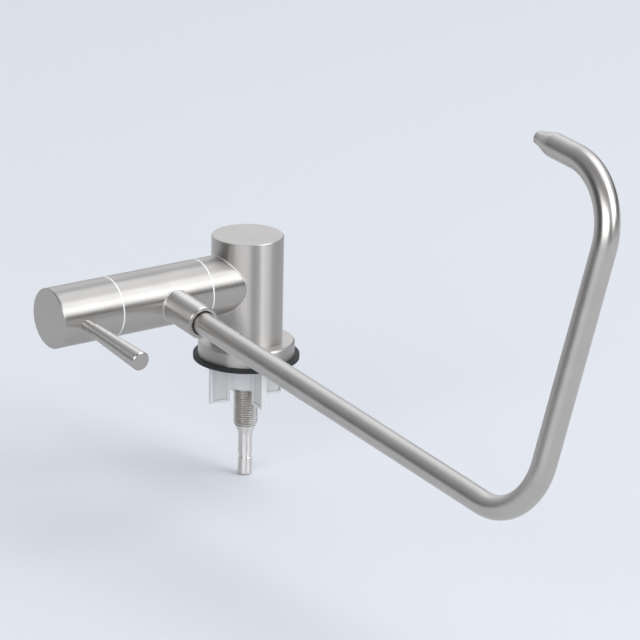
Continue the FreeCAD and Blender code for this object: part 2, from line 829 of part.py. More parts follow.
def upright_ports(label, start, thick):
    """Two round ports above and below the barrel's axis."""
    above = rod(label + "_above", "barrel", start, thick, "disc_port_radius")
    above.setExpression("Placement.Base.z", distance("barrel_height + disc_port_circle"))
    below = rod(label + "_below", "barrel", start, thick, "disc_port_radius")
    below.setExpression("Placement.Base.z", distance("barrel_height - disc_port_circle"))
    return [above, below]


def level_ports(label, start, thick):
    """Two round ports in front of and behind the barrel's axis."""
    front = rod(label + "_front", "barrel", start, thick, "disc_port_radius")
    front.setExpression("Placement.Base.y", distance("- disc_port_circle"))
    rear = rod(label + "_rear", "barrel", start, thick, "disc_port_radius")
    rear.setExpression("Placement.Base.y", distance("disc_port_circle"))
    return [front, rear]


def cartridge_spindle():
    bar = turned("spindle_bar", "barrel", "", [
        ("driver_seat", ""),
        ("driver_seat", "disc_radius"),
        ("driver_seat + driver_thick", "disc_radius"),
        ("driver_seat + driver_thick", "spindle_radius"),
        ("circlip_start", "spindle_radius"),
        ("circlip_start", "circlip_groove"),
        ("circlip_start + circlip_thick", "circlip_groove"),
        ("circlip_start + circlip_thick", "spindle_radius"),
        ("spindle_stop", "spindle_radius"),
        ("spindle_stop", "spindle_tap_radius"),
        ("spindle_stop - spindle_tap_depth", "spindle_tap_radius"),
        ("spindle_stop - spindle_tap_depth", ""),
    ])
    flat = block(
        "spindle_flat_cut", "spindle_radius", "4*spindle_radius",
        "spindle_rise - spindle_flat_land")
    flat.Placement = Placement(Vector(), DOWN * ALONG_BARREL)
    flat.setExpression("Placement.Base.x", distance("- nut_stop - spindle_flat_land"))
    flat.setExpression("Placement.Base.y", distance("2*spindle_radius"))
    flat.setExpression("Placement.Base.z", distance("barrel_height - spindle_flat"))
    ports = level_ports("driver_port", "driver_seat", "driver_thick")
    return less("cartridge_spindle", bar, [flat] + ports)


def spindle_circlip():
    clip = ring(
        "circlip_ring", "barrel", "circlip_start", "circlip_thick",
        "circlip_radius", "circlip_groove + face_clear")
    gap = block("circlip_opening", "circlip_gap", "2*circlip_radius", "circlip_thick")
    stand(gap, "barrel", "circlip_start")
    gap.setExpression("Placement.Base.z", distance("barrel_height - 0.5*circlip_gap"))
    return less("spindle_circlip", clip, [gap])


pieces.append(ring(
    "cartridge_seal", "barrel", "cartridge_seat", "seal_thick",
    "cartridge_bore - seat_clear", "seal_bore"))
pieces.append(cartridge_body())
fixed_plate = rod("fixed_plate", "barrel", "disc_seat", "disc_thick", "disc_radius")
pieces.append(less(
    "ceramic_disc_fixed", fixed_plate, upright_ports("fixed_port", "disc_seat", "disc_thick")))
moving_seat = "disc_seat + disc_thick"
moving_plate = rod("moving_plate", "barrel", moving_seat, "disc_thick", "disc_radius")
pieces.append(less(
    "ceramic_disc_moving", moving_plate, level_ports("moving_port", moving_seat, "disc_thick")))
pieces.append(cartridge_spindle())
pieces.append(spindle_circlip())
pieces.append(group("spindle_orings", [
    hoop(
        groove + "_hoop", "barrel", groove + " + 0.5*spindle_ring_width",
        "spindle_radius + 0.5*spindle_ring_depth", "0.5*spindle_ring_depth - face_clear")
    for groove in ("spindle_ring_a", "spindle_ring_b")
]))


# the handle: slip ring, cap, insert, lever and grub screw
def handle_cap():
    shell = turned("cap_shell", "barrel", "", [
        ("cap_start", "cap_bore"),
        ("cap_start", "barrel_radius"),
        ("cap_end - cap_edge", "barrel_radius"),
        ("cap_end", "barrel_radius - cap_edge"),
        ("cap_end", ""),
        ("cap_bore_end", ""),
        ("cap_bore_end", "cap_bore"),
    ])
    lever_hole = rod(
        "cap_lever_hole", "lever", "lever_thread_stop",
        "barrel_radius", "lever_neck_radius + face_clear")
    thread_hole = rod(
        "cap_thread_hole", "lever", "lever_root",
        "barrel_radius", "lever_thread_radius + face_clear")
    screw_hole = rod(
        "cap_screw_hole", "cap_screw", "cap_screw_tip",
        "barrel_radius", "cap_screw_radius + face_clear")
    return less("handle_cap", shell, [lever_hole, thread_hole, screw_hole])


def handle_insert():
    hub = rod("insert_hub", "barrel", "insert_start", "insert_length", "cap_bore - face_clear")
    depth = "spindle_stop + hang_clear - insert_start"
    bore = rod("insert_bore", "barrel", "insert_start", depth, "spindle_radius + face_clear")
    key = block("insert_key", "spindle_radius", "4*spindle_radius", depth)
    key.Placement = Placement(Vector(), DOWN * ALONG_BARREL)
    key.setExpression("Placement.Base.x", distance("- insert_start"))
    key.setExpression("Placement.Base.y", distance("2*spindle_radius"))
    key.setExpression("Placement.Base.z", distance("barrel_height - spindle_flat - face_clear"))
    shaped = less("insert_shaped_bore", bore, [key])
    thread_hole = rod(
        "insert_thread_hole", "lever", "lever_root - face_clear",
        "barrel_radius", "lever_thread_radius + face_clear")
    screw_hole = rod(
        "insert_screw_hole", "cap_screw", "spindle_flat",
        "barrel_radius", "cap_screw_radius + face_clear")
    return less("handle_insert", hub, [shaped, thread_hole, screw_hole])


def grub_screw(label, axis, tip, head, radius, key_depth, key_radius):
    """A headless screw with a hexagon socket in its outer end."""
    bar = rod(label + "_bar", axis, tip, head + " - " + tip, radius)
    key = hexagon(label + "_key", axis, head + " - " + key_depth, key_depth, key_radius)
    return less(label, bar, [key])


pieces.append(ring(
    "handle_slip_ring", "barrel", "barrel_end", "slip_ring_thick - face_clear",
    "barrel_radius", "cap_bore"))
pieces.append(handle_cap())
pieces.append(handle_insert())
pieces.append(turned("lever_pin", "lever", "", [
    ("lever_root", ""),
    ("lever_root", "lever_thread_radius"),
    ("lever_thread_stop", "lever_thread_radius"),
    ("lever_thread_stop", "lever_neck_radius"),
    ("lever_neck_stop", "lever_neck_radius"),
    ("lever_neck_stop", "lever_shoulder_radius"),
    ("lever_stop - lever_edge", "lever_end_radius"),
    ("lever_stop", "lever_end_radius - lever_edge"),
    ("lever_stop", ""),
]))
pieces.append(grub_screw(
    "handle_grub_screw", "cap_screw", "cap_screw_tip", "cap_screw_head",
    "cap_screw_radius", "key_depth", "key_radius"))


# the spout's foot in its socket, with the groove that the grub screw's point runs in
pieces.append(turned("spout_tail", "socket", "", [
    ("tail_start", "tail_bore"),
    ("tail_start", "socket_bore - run_clear"),
    ("spout_ring_a", "socket_bore - run_clear"),
    ("spout_ring_a", "socket_bore - spout_ring_depth"),
    ("spout_ring_a + spout_ring_width", "socket_bore - spout_ring_depth"),
    ("spout_ring_a + spout_ring_width", "socket_bore - run_clear"),
    ("socket_screw_along - retaining_half", "socket_bore - run_clear"),
    ("socket_screw_along - retaining_half", "retaining_radius"),
    ("socket_screw_along + retaining_half", "retaining_radius"),
    ("socket_screw_along + retaining_half", "socket_bore - run_clear"),
    ("spout_ring_b", "socket_bore - run_clear"),
    ("spout_ring_b", "socket_bore - spout_ring_depth"),
    ("spout_ring_b + spout_ring_width", "socket_bore - spout_ring_depth"),
    ("spout_ring_b + spout_ring_width", "socket_bore - run_clear"),
    ("tail_stop", "socket_bore - run_clear"),
    ("tail_stop", "tube_radius + face_clear"),
    ("tube_seat", "tube_radius + face_clear"),
    ("tube_seat", "tail_bore"),
]))
pieces.append(group("spout_orings", [
    hoop(
        groove + "_hoop", "socket", groove + " + 0.5*spout_ring_width",
        "socket_bore - 0.5*spout_ring_depth", "0.5*spout_ring_depth - face_clear")
    for groove in ("spout_ring_a", "spout_ring_b")
]))
pieces.append(ring(
    "spout_wiper", "socket", "wiper_start", "wiper_thick",
    "socket_bore - face_clear", "tube_radius + run_clear"))
dog = rod(
    "socket_screw_point", "socket_screw", "socket_screw_tip",
    "socket_screw_bite", "socket_screw_dog")
socket_screw = grub_screw(
    "socket_screw_body", "socket_screw", "socket_bore", "socket_screw_head",
    "socket_screw_radius", "socket_key_depth", "socket_key_radius")
pieces.append(joined("spout_grub_screw", [socket_screw, dog]))


# the spout: one tube with two square bends, drawn down to a narrower nozzle at its end
def spout_route(body, name):
    """The middle line of the tube: three straights and two quarter bends."""
    route = body.newObject("Sketcher::SketchObject", name)
    route.AttachmentSupport = [(plane(body, "YZ_Plane"), "")]
    route.MapMode = "FlatFace"
    seat = worked("tube_seat")[0]
    first = SIZES["first_straight"]
    bend = SIZES["bend_radius"]
    second = SIZES["second_straight"]
    apart = worked("legs_apart")[0]
    last = SIZES["outlet_straight"]
    quarter = math.pi / 2
    flat = Vector(0, 0, 1)
    lower = Part.Circle(Vector(bend, first, 0), flat, bend)
    upper = Part.Circle(Vector(bend + second, first, 0), flat, bend)
    for line in (
        Part.LineSegment(Vector(0, seat, 0), Vector(0, first, 0)),
        Part.ArcOfCircle(lower, quarter, 2 * quarter),
        Part.LineSegment(Vector(bend, first + bend, 0), Vector(bend + second, first + bend, 0)),
        Part.ArcOfCircle(upper, 0, quarter),
        Part.LineSegment(Vector(apart, first, 0), Vector(apart, first - last, 0)),
    ):
        route.addGeometry(line, False)
    for line, kind in ((0, "Vertical"), (2, "Horizontal"), (4, "Vertical")):
        route.addConstraint(Sketcher.Constraint(kind, line))
    for one, one_end, other, other_end in ((0, 2, 1, 2), (1, 1, 2, 1), (2, 2, 3, 2), (3, 1, 4, 1)):
        route.addConstraint(Sketcher.Constraint("Tangent", one, one_end, other, other_end))
    route.addConstraint(Sketcher.Constraint("PointOnObject", 0, 1, -2))
    for label, constraint, text in (
        ("seat", Sketcher.Constraint("DistanceY", -1, 1, 0, 1, seat), "tube_seat"),
        ("first", Sketcher.Constraint("DistanceY", -1, 1, 0, 2, first), "first_straight"),
        ("lower_bend", Sketcher.Constraint("Radius", 1, bend), "bend_radius"),
        ("upper_bend", Sketcher.Constraint("Radius", 3, bend), "bend_radius"),
        ("second", Sketcher.Constraint("DistanceX", 2, 1, 2, 2, second), "second_straight"),
        ("last", Sketcher.Constraint("Distance", 4, last), "outlet_straight"),
    ):
        made = route.addConstraint(constraint)
        route.renameConstraint(made, label)
        route.setExpression("Constraints." + label, distance(text))
    return route


def section(body, name, radius):
    """A circle round the tube's axis at its seat."""
    circle = body.newObject("Sketcher::SketchObject", name)
    circle.AttachmentSupport = [(plane(body, "XY_Plane"), "")]
    circle.MapMode = "FlatFace"
    circle.setExpression("AttachmentOffset.Base.z", distance("tube_seat"))
    number, text = worked(radius)
    circle.addGeometry(Part.Circle(Vector(), Vector(0, 0, 1), number), False)
    circle.addConstraint(Sketcher.Constraint("Coincident", 0, 3, -1, 1))
    made = circle.addConstraint(Sketcher.Constraint("Radius", 0, number))
    circle.setExpression("Constraints[%d]" % made, text)
    return circle


def spout_tube():
    body = doc.addObject("PartDesign::Body", "spout_bent_tube")
    route = spout_route(body, "spout_route")
    outside = body.newObject("PartDesign::AdditivePipe", "spout_outside")
    outside.Profile = section(body, "spout_outer_circle", "tube_radius")
    outside.Spine = route
    doc.recompute()
    before = body.Shape.Volume
    inside = body.newObject("PartDesign::SubtractivePipe", "spout_inside")
    inside.Profile = section(body, "spout_inner_circle", "tube_radius - tube_wall")
    inside.Spine = route
    body.Tip = inside
    doc.recompute()
    print("spout bore takes out", round(before - body.Shape.Volume, 1), "mm3 of", round(before, 1))
    stand(body, "spout", "")
    nozzle = turned("spout_nozzle", "outlet", "outlet_straight", [
        ("", "tube_radius - tube_wall"),
        ("", "tube_radius"),
        ("nozzle_length", "nozzle_radius"),
        ("nozzle_length", "nozzle_radius - tube_wall"),
    ])
    return joined("spout_tube", [body, nozzle])


pieces.append(spout_tube())

doc.recompute()
os.makedirs("parts", exist_ok=True)
for item in doc.Objects:
    if "Invalid" in item.State or "Error" in item.State:
        raise RuntimeError("%s is %s" % (item.Label, item.State))
for piece in pieces:
    shape = piece.Shape
    if shape.isNull() or not shape.isValid() or not shape.Solids:
        raise RuntimeError(piece.Label + " has no valid shape")
for piece in pieces:
    piece.Shape.exportStep("parts/%s.step" % piece.Label)
    box = piece.Shape.BoundBox
    print("%-20s %d solid(s) %9.1f mm3  x %.1f..%.1f  y %.1f..%.1f  z %.1f..%.1f" % (
        piece.Label, len(piece.Shape.Solids), piece.Shape.Volume,
        box.XMin, box.XMax, box.YMin, box.YMax, box.ZMin, box.ZMax))
print(len(pieces), "pieces")
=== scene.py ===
# %% [markdown]
# # A folding kitchen faucet, dressed for a product picture
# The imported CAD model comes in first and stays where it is. Pieces whose CAD shape already shows
# everything, such as the post and the cap, keep it and get a finish. Pieces whose real surface
# has more to show, such as the bent tube and the screw thread, are built here in the same place.

import json
import math

import bmesh
import bpy
from mathutils import Matrix, Vector


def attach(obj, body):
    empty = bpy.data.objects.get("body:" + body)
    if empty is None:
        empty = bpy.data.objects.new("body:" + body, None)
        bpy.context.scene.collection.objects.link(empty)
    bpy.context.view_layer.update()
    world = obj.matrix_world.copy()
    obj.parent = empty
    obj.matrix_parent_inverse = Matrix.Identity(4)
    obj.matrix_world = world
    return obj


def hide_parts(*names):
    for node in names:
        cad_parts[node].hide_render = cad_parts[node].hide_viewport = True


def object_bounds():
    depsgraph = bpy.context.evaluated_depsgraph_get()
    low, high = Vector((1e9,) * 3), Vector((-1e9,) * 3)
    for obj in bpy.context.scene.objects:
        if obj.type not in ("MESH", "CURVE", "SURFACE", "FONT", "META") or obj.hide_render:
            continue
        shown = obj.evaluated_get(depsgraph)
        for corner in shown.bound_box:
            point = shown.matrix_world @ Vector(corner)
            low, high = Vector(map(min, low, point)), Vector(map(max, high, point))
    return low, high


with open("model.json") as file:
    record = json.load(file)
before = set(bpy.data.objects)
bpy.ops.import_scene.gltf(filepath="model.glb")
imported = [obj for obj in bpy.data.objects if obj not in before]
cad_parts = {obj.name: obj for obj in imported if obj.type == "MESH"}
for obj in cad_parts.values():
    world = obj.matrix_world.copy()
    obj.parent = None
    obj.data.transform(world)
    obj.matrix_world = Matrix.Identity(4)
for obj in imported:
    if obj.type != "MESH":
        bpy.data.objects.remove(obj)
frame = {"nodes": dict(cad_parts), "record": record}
cad_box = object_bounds()
MM = 0.001
print("CAD box, mm:", [[round(value / MM, 1) for value in corner] for corner in cad_box])

# %% [markdown]
# ## Camera
# The photograph was taken from in front of the tap, to its left and a little above, through a
# long lens. The outlines of the post, cap, rings and tube fix that view: each is an ellipse or a
# pair of edges whose place in the picture follows from where the camera stands. So the camera's
# matrix is written out from its azimuth, elevation and roll instead of being aimed by hand.
# The Standard view shows light as it is, so a colour comes out as it is written.

# %% Camera
PHOTO_WIDTH = 640
FOCAL_PIXELS = 3617.0
SENSOR_WIDTH = 36.0
CAMERA_AZIMUTH = math.radians(-35.86)
CAMERA_ELEVATION = math.radians(18.83)
CAMERA_ROLL = math.radians(1.14)
CAMERA_PLACE = Vector((-862.6, -1248.9, 535.2)) * MM


def direction(azimuth, elevation):
    """A unit vector from the tap: azimuth 0 is the front, -Y, and elevation is above level."""
    return Vector((
        math.sin(azimuth) * math.cos(elevation),
        -math.cos(azimuth) * math.cos(elevation),
        math.sin(elevation),
    ))


back = direction(CAMERA_AZIMUTH, CAMERA_ELEVATION)
level = Vector((math.cos(CAMERA_AZIMUTH), math.sin(CAMERA_AZIMUTH), 0))
upright = back.cross(level)
right = math.cos(CAMERA_ROLL) * level + math.sin(CAMERA_ROLL) * upright
up = math.cos(CAMERA_ROLL) * upright - math.sin(CAMERA_ROLL) * level
camera = bpy.data.objects.new("camera", bpy.data.cameras.new("camera"))
bpy.context.scene.collection.objects.link(camera)
turn = Matrix((right, up, back)).transposed().to_4x4()
camera.matrix_world = Matrix.Translation(CAMERA_PLACE) @ turn
camera.data.sensor_width = SENSOR_WIDTH
camera.data.lens = FOCAL_PIXELS / PHOTO_WIDTH * SENSOR_WIDTH
camera.data.clip_start = 0.05
camera.data.clip_end = 50.0
bpy.context.scene.camera = camera
bpy.context.scene.view_settings.view_transform = "Standard"
print("lens, mm:", round(camera.data.lens, 1))

# %% [markdown]
# ## Colours and nodes
# Colours are written as the sRGB hex values that an eye reads off a screen. Blender's shaders
# want linear light, so one function turns them. Another adds a node with its settings and its
# links, which keeps each material short enough to read as a recipe. A noise texture's values
# run from 0 to 1 but mostly lie between 0.3 and 0.7, so roughness is spread over that part.

# %% Helpers for colours and nodes
NOISE_LOW = 0.3
NOISE_HIGH = 0.7


def linear(hex_colour):
    """An sRGB hex colour as linear red, green, blue and alpha."""
    shown = [int(hex_colour[digit:digit + 2], 16) / 255 for digit in (1, 3, 5)]
    light = [s / 12.92 if s <= 0.04045 else ((s + 0.055) / 1.055) ** 2.4 for s in shown]
    return (*light, 1.0)


def add_node(tree, kind, settings=None, **links):
    """Add a node, set its attributes and sockets, and link it to other nodes' outputs.

    A link is named for the socket that takes it, with _ for a space, or _0, _1 for a place.
    """
    node = tree.nodes.new(kind)
    for name, value in (settings or {}).items():
        if isinstance(name, str) and hasattr(node, name):
            setattr(node, name, value)
        else:
            node.inputs[name].default_value = value
    for name, source in links.items():
        place = name[1:]
        socket = node.inputs[int(place) if place.isdigit() else name.replace("_", " ")]
        tree.links.new(source, socket)
    return node


def new_material(name, **settings):
    """An empty node material with its surface shader, set by socket name with _ for a space."""
    material = bpy.data.materials.new(name)
    material.use_nodes = True
    tree = material.node_tree
    tree.nodes.clear()
    shader = add_node(tree, "ShaderNodeBsdfPrincipled")
    for socket, value in settings.items():
        shader.inputs[socket.replace("_", " ")].default_value = value
    add_node(tree, "ShaderNodeOutputMaterial", Surface=shader.outputs["BSDF"])
    return material, tree, shader


def connect(tree, shader, tint, rough, bump):
    """Link a finish's colour, roughness and height to its shader."""
    tree.links.new(tint.outputs[2], shader.inputs["Base Color"])
    tree.links.new(rough.outputs[0], shader.inputs["Roughness"])
    tree.links.new(bump.outputs[0], shader.inputs["Normal"])


print("mid grey #808080 is", round(linear("#808080")[0], 3), "in linear light")

# %% [markdown]
# ## Stainless steel with a satin round the piece
# The post, barrel and cap are bright bar of grade 304 stainless steel, turned and then held
# against a fine abrasive belt while they spin. The scratches run round the piece, so a highlight
# spreads along the axis and stays narrow across it. That gives the eye the long light and dark
# bands of the post. The shader's anisotropy does this when its tangent points along the axis,
# which is one direction for the whole of a straight piece. The end faces are rubbed straight
# across, so the tangent leans a little off the axis: a side face hardly notices, and an end face
# is left with the lean alone. The post's stub and the barrel's socket were turned about another
# axis, so a piece may have a branch: out past its own radius, scratches and tangent follow the
# branch. The metal keeps the default IOR, and its colour is the reflectance of satin steel, a
# little warm.
#
# Two patterns carry the finish: fine rings in colour, roughness and height, and a slow cloud in
# roughness, as where a thumb has been. Real scratches are about 0.05 mm apart, too fine to show,
# so they are drawn at 0.35 mm.

# %% Satin stainless steel
SCRATCH_SPACING = 0.35 * MM
SCRATCH_RUN = 14 * MM
SCRATCH_HEIGHT = 0.003 * MM
CLOUD_SIZE = 16 * MM
SATIN_COLOURS = ("#B6B2AD", "#C4C0BA")
ROUGHNESS_SWING = 0.04
END_LEAN = Vector((0.03, 0.05, 0.03))
OUT_OF_REACH = 1000 * MM


def along(axis, value, other):
    """A vector with one value along an axis X, Y or Z and another across it."""
    return [value if letter == axis else other for letter in "XYZ"]


def satin_steel(
        name, axis, roughness=0.4, anisotropy=0.95, colours=SATIN_COLOURS, branch=None):
    """Steel with scratches round an axis X, Y or Z of the tap.

    A branch is the axis of a stub that leaves the piece, the height of the piece's own axis and
    its radius: further out than that, the scratches run round the stub.
    """
    material, tree, shader = new_material(name, Metallic=1.0, Anisotropic=anisotropy)
    place = add_node(tree, "ShaderNodeTexCoord")
    stub, height, radius = branch or (axis, 0.0, OUT_OF_REACH)
    outward = add_node(
        tree, "ShaderNodeVectorMath", {"operation": "SUBTRACT", 1: (0, 0, height)},
        _0=place.outputs["Object"])
    square = add_node(
        tree, "ShaderNodeVectorMath", {"operation": "MULTIPLY", 1: along(axis, 0, 1)},
        _0=outward.outputs[0])
    distance = add_node(
        tree, "ShaderNodeVectorMath", {"operation": "LENGTH"}, _0=square.outputs[0])
    on_stub = add_node(
        tree, "ShaderNodeMath", {"operation": "GREATER_THAN", 1: radius},
        _0=distance.outputs["Value"])
    stretch = add_node(
        tree, "ShaderNodeMix", {
            "data_type": "VECTOR",
            4: along(axis, 1 / SCRATCH_SPACING, 1 / SCRATCH_RUN),
            5: along(stub, 1 / SCRATCH_SPACING, 1 / SCRATCH_RUN),
        }, _0=on_stub.outputs[0])
    scaled = add_node(
        tree, "ShaderNodeVectorMath", {"operation": "MULTIPLY"},
        _0=place.outputs["Object"], _1=stretch.outputs[1])
    rings = add_node(
        tree, "ShaderNodeTexNoise", {"Scale": 1.0, "Detail": 3.0}, Vector=scaled.outputs[0])
    cloud = add_node(
        tree, "ShaderNodeTexNoise", {"Scale": 1 / CLOUD_SIZE, "Detail": 3.0},
        Vector=place.outputs["Object"])
    tint = add_node(
        tree, "ShaderNodeMix",
        {"data_type": "RGBA", 6: linear(colours[0]), 7: linear(colours[1])},
        _0=rings.outputs["Fac"])
    worn = add_node(
        tree, "ShaderNodeMath", {"operation": "ADD"},
        _0=rings.outputs["Fac"], _1=cloud.outputs["Fac"])
    rough = add_node(
        tree, "ShaderNodeMapRange", {
            "From Min": 2 * NOISE_LOW, "From Max": 2 * NOISE_HIGH,
            "To Min": roughness - ROUGHNESS_SWING, "To Max": roughness + ROUGHNESS_SWING,
        }, Value=worn.outputs[0])
    bump = add_node(
        tree, "ShaderNodeBump", {"Strength": 1.0, "Distance": SCRATCH_HEIGHT},
        Height=rings.outputs["Fac"])
    lengthwise = add_node(
        tree, "ShaderNodeMix", {
            "data_type": "VECTOR",
            4: Vector(along(axis, 1, 0)) + END_LEAN,
            5: Vector(along(stub, 1, 0)) + END_LEAN,
        }, _0=on_stub.outputs[0])
    tangent = add_node(
        tree, "ShaderNodeVectorTransform",
        {"vector_type": "VECTOR", "convert_from": "OBJECT", "convert_to": "WORLD"},
        _0=lengthwise.outputs[1])
    connect(tree, shader, tint, rough, bump)
    tree.links.new(tangent.outputs[0], shader.inputs["Tangent"])
    return material


# A branch starts this far outside the piece's own radius, clear of its surface.
GAP = 0.05 * MM
BARREL_HEIGHT = 36.3 * MM
BARREL_RADIUS = 13.2 * MM
POST_RADIUS = 16.0 * MM
steel_flange = satin_steel("satin_steel_flange", "Z")
steel_post = satin_steel("satin_steel_post", "Z", branch=("X", 0.0, POST_RADIUS + GAP))
steel_barrel = satin_steel(
    "satin_steel_barrel", "X", branch=("Y", BARREL_HEIGHT, BARREL_RADIUS + GAP))
steel_cap = satin_steel("satin_steel_cap", "X")
steel_lever = satin_steel("satin_steel_lever", "Y", roughness=0.35)
print("satin pieces:", steel_post.name, steel_barrel.name, steel_cap.name, steel_lever.name)

# %% [markdown]
# ## Polished tube
# The spout is drawn stainless tube, bent and then buffed along its length on a soft wheel. It is
# brighter than the post, with bands that follow the bends, so its roughness is lower and its
# highlight spreads only a little more along the tube than round it. A bent piece has no constant
# axis: the tangent comes from the surface map, whose U runs along the tube and V round it. Real
# buffing lines are as fine as the scratches, so they are drawn coarser too, at 0.4 mm.

# %% Buffed stainless tube
BUFFING_RUN = 30 * MM
BUFFING_SPACING = 0.4 * MM
BUFFING_HEIGHT = 0.0008 * MM
TUBE_SHINE = {"To Min": 0.27, "To Max": 0.33}
tube_steel, tree, shader = new_material("buffed_steel_tube", Metallic=1.0, Anisotropic=0.3)
place = add_node(tree, "ShaderNodeTexCoord")
scaled = add_node(
    tree, "ShaderNodeVectorMath",
    {"operation": "MULTIPLY", 1: (1 / BUFFING_RUN, 1 / BUFFING_SPACING, 0)},
    _0=place.outputs["UV"])
lines = add_node(
    tree, "ShaderNodeTexNoise", {"Scale": 1.0, "Detail": 2.0}, Vector=scaled.outputs[0])
cloud = add_node(
    tree, "ShaderNodeTexNoise", {"Scale": 1 / CLOUD_SIZE, "Detail": 3.0},
    Vector=place.outputs["Object"])
tint = add_node(
    tree, "ShaderNodeMix", {"data_type": "RGBA", 6: linear("#B4B0AA"), 7: linear("#C3BFB9")},
    _0=cloud.outputs["Fac"])
rough = add_node(
    tree, "ShaderNodeMapRange", {"From Min": NOISE_LOW, "From Max": NOISE_HIGH, **TUBE_SHINE},
    Value=cloud.outputs["Fac"])
bump = add_node(
    tree, "ShaderNodeBump", {"Strength": 1.0, "Distance": BUFFING_HEIGHT},
    Height=lines.outputs["Fac"])
tangent = add_node(tree, "ShaderNodeTangent", {"direction_type": "UV_MAP", "uv_map": "along"})
connect(tree, shader, tint, rough, bump)
tree.links.new(tangent.outputs[0], shader.inputs["Tangent"])
print("tube finish:", tube_steel.name)

# %% [markdown]
# ## Turned, threaded and ground steel
# The stem comes off the lathe bright, with fine tool rings round Z and no satin after, so its
# highlight still spreads along the axis. A thread's flanks face every way, and a weld is ground
# by hand, so neither has a main direction and the anisotropy there is 0. The screws and clips
# inside have a plain finish.

# %% Turned, threaded and ground steel
turned_steel = satin_steel(
    "turned_steel_stem", "Z", roughness=0.34, anisotropy=0.96, colours=("#E0DDD8", "#ECE9E5"))
thread_steel = satin_steel(
    "cut_thread_steel", "Z", roughness=0.28, anisotropy=0.0, colours=("#DAD7D2", "#E6E3DE"))
weld_steel = satin_steel(
    "ground_weld_steel", "Z", roughness=0.45, anisotropy=0.0, colours=("#D2CFCB", "#DFDDDA"))
screw_steel = satin_steel("plain_screw_steel", "X", roughness=0.35, anisotropy=0.0)
print("stem finish:", turned_steel.name)

# %% [markdown]
# ## Rubber, acetal, nylon, brass and ceramic
# The gasket and seals are moulded nitrile rubber: black, matt, IOR about 1.52, with the grain of
# the mould. The slip rings are turned acetal: white, waxy, IOR 1.48, so light goes a little way
# in. The centring ring is natural nylon, milky and half clear: light scatters deep inside it, and
# in grey daylight all colours go equally far. Brass and alumina are inside, and show only where
# the tap is taken apart. The real grain of these moulds and tools is 0.1 mm or finer, too fine to
# show, so it is drawn at 0.4 to 2 mm.

# %% Small pieces' materials


def moulded(name, colours, roughness, grain, grain_height, **settings):
    """A plastic, rubber or plain metal with a fine grain in its colour, roughness and height."""
    material, tree, shader = new_material(name, **settings)
    place = add_node(tree, "ShaderNodeTexCoord")
    noise = add_node(
        tree, "ShaderNodeTexNoise", {"Scale": 1 / grain, "Detail": 4.0},
        Vector=place.outputs["Object"])
    tint = add_node(
        tree, "ShaderNodeMix",
        {"data_type": "RGBA", 6: linear(colours[0]), 7: linear(colours[1])},
        _0=noise.outputs["Fac"])
    rough = add_node(
        tree, "ShaderNodeMapRange", {
            "From Min": NOISE_LOW, "From Max": NOISE_HIGH,
            "To Min": roughness[0], "To Max": roughness[1],
        }, Value=noise.outputs["Fac"])
    bump = add_node(
        tree, "ShaderNodeBump", {"Strength": 1.0, "Distance": grain_height},
        Height=noise.outputs["Fac"])
    connect(tree, shader, tint, rough, bump)
    return material


rubber = moulded(
    "moulded_nitrile_rubber", ("#0A0A0B", "#131313"), roughness=(0.55, 0.7),
    grain=0.5 * MM, grain_height=0.02 * MM, IOR=1.52)
acetal = moulded(
    "turned_white_acetal", ("#E9E8E3", "#F0EFEA"), roughness=(0.35, 0.45),
    grain=0.6 * MM, grain_height=0.005 * MM, IOR=1.48,
    Subsurface_Weight=0.25, Subsurface_Scale=0.8 * MM, Subsurface_Radius=(1.0, 1.0, 1.0))
nylon = moulded(
    "moulded_natural_nylon", ("#CFD0CF", "#DADBDA"), roughness=(0.45, 0.55),
    grain=2.0 * MM, grain_height=0.01 * MM, IOR=1.53,
    Subsurface_Weight=0.7, Subsurface_Scale=1.2 * MM, Subsurface_Radius=(1.0, 1.0, 1.0))
brass = moulded(
    "turned_brass", ("#D9BC7C", "#E3C98C"), roughness=(0.25, 0.35),
    grain=0.8 * MM, grain_height=0.004 * MM, Metallic=1.0)
alumina = moulded(
    "lapped_alumina", ("#EDE9DF", "#F4F1E8"), roughness=(0.15, 0.25),
    grain=0.4 * MM, grain_height=0.002 * MM, IOR=1.76)
print("other materials:", rubber.name, acetal.name, nylon.name, brass.name, alumina.name)

# %% [markdown]
# ## Painted shade in the centring ring's thin webs
# Each leg of the ring is a plate with a thin web inside a thicker frame. The web has less milk
# for light to scatter in, so more of the shade behind it shows through, and that grey is painted
# into its colour. The legs stand square to each other round Z, turned by a few degrees: once a
# point is turned back and its signs are dropped, the four webs are one flat box, and the painted
# shade lies inside it.

# %% Grey webs, painted shade
LEG_TURN = math.radians(-7.4)
WEB_HALF = 0.5 * MM
WEB_INNER = 9.4 * MM
WEB_OUTER = 16.85 * MM
WEB_FOOT = 18.55 * MM


def paint_shade_over(material, colour, share):
    """Paint another colour over a material's own, by an output that goes from 0 to 1: painted
    shade.
    """
    tree = material.node_tree
    shader = next(node for node in tree.nodes if node.type == "BSDF_PRINCIPLED")
    own = shader.inputs["Base Color"].links[0].from_socket
    mixed = add_node(
        tree, "ShaderNodeMix", {"data_type": "RGBA", 7: linear(colour)}, _0=share, _6=own)
    tree.links.new(mixed.outputs[2], shader.inputs["Base Color"])


